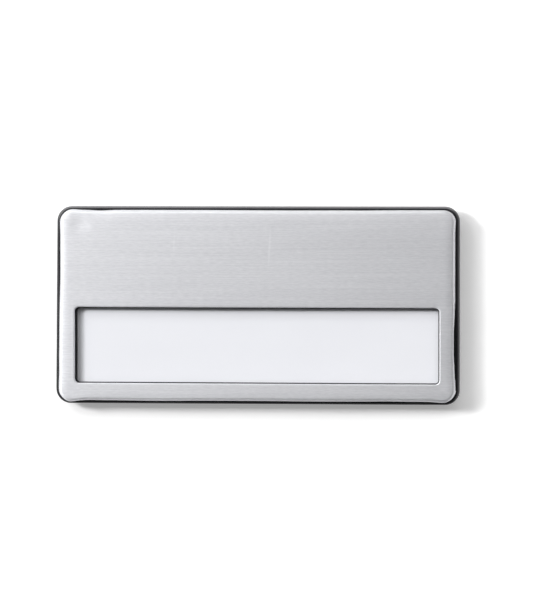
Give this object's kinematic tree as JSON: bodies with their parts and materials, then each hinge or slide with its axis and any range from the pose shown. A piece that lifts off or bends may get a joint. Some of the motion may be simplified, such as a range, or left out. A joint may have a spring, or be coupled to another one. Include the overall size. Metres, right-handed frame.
{
  "type": "window name badge with a magnet bar",
  "caption": "Flat oblong identification badge: pressed metal face plate with a long window over a blank card, in a dark moulded body with a flat magnet bar behind.",
  "frame": {"origin": "middle of the magnet bar's back face, which is the middle of the bottom of the whole badge's box", "axes": "+X along the badge to the end where the card slides in, +Y up the face, away from the window, +Z out of the face"},
  "size_m": [0.068, 0.0332, 0.0048],
  "materials": {
    "plate_metal": "fine satin brushing along the badge",
    "body_plastic": "moulded, with a fine even grain",
    "card_paper": "smooth white card, blank",
    "bar_metal": "plain nickel plating, slightly dull"
  },
  "bodies": {
    "root": {"face_plate": "plate_metal", "body": "body_plastic", "name_card": "card_paper", "magnet_bar": "bar_metal"}
  },
  "joints": []
}
